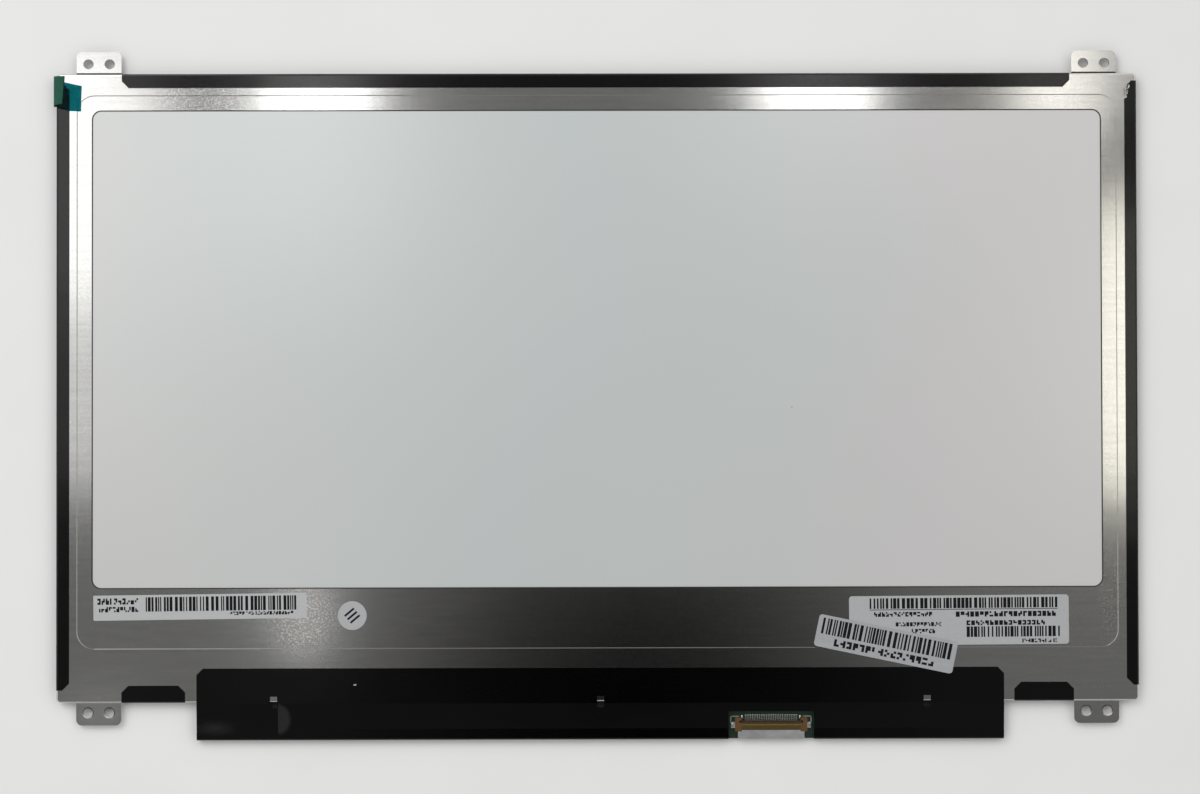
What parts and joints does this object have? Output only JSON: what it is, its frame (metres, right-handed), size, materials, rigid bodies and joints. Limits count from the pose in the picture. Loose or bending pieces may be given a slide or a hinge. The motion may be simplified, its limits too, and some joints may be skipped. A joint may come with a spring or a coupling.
{
  "type": "lcd panel",
  "caption": "Slim notebook LCD module lying on its screen: pressed steel back with a white window, folded edge tapes, fixing ears, taped driver board and edge connector.",
  "frame": {"origin": "middle of the body outline over the edge tapes, on the front face of the screen film", "axes": "+X along the long side, +Y towards the top of the module away from the board, +Z from the screen to the steel back"},
  "size_m": [0.3063, 0.1946, 0.0034],
  "materials": {
    "steel": "satin rolled steel with fine grain",
    "reflector": "matt white film",
    "black_tape": "semi-gloss black tape",
    "paper_label": null,
    "tab_film": "translucent green film",
    "clear_film": "clear film",
    "polariser": "dark anti-glare film",
    "cell_glass": "thin display glass",
    "foam_tape": "black foam tape",
    "mould_plastic": "white moulded plastic",
    "optical_sheet": "frosted optical sheet",
    "guide_acrylic": "clear plate with fine dots",
    "flex_circuit": "amber flexible circuit",
    "led_body": "white lamp body with yellow phosphor",
    "adhesive": "grey heat-conducting adhesive",
    "board_green": "green solder mask",
    "chip_black": "black moulded package",
    "ferrite": "dark grey ferrite",
    "capacitor_ceramic": "tan ceramic with tinned ends",
    "connector_amber": "amber moulded plastic",
    "tinned_metal": "bright tinned metal",
    "contact_metal": "plated contact strip"
  },
  "bodies": {
    "root": {"back_chassis": "steel", "reflector_sheet": "reflector", "left_edge_tape": "black_tape", "right_edge_tape": "black_tape", "top_edge_tape": "black_tape", "bottom_left_tape": "black_tape", "bottom_right_tape": "black_tape", "board_cover_tape": "black_tape", "label_left": "paper_label", "label_right": "paper_label", "label_tilted": "paper_label", "inspection_dot": "paper_label", "pull_tab": "tab_film", "protective_film": "clear_film", "front_polariser": "polariser", "rear_polariser": "polariser", "filter_glass": "cell_glass", "array_glass": "cell_glass", "rim_tape": "foam_tape", "mould_frame": "mould_plastic", "upper_prism_sheet": "optical_sheet", "lower_prism_sheet": "optical_sheet", "diffuser_sheet": "optical_sheet", "light_guide": "guide_acrylic", "led_flex": "flex_circuit", "source_films": "flex_circuit", "led_packages": "led_body", "led_adhesive": "adhesive", "driver_board": "board_green", "source_chips": "chip_black", "timing_controller": "chip_black", "power_controller": "chip_black", "backlight_driver": "chip_black", "flash_memory": "chip_black", "power_inductors": "ferrite", "board_capacitors": "capacitor_ceramic", "connector_housing": "connector_amber", "connector_shell": "tinned_metal", "connector_hold_downs": "tinned_metal", "connector_contacts": "contact_metal"}
  },
  "joints": []
}
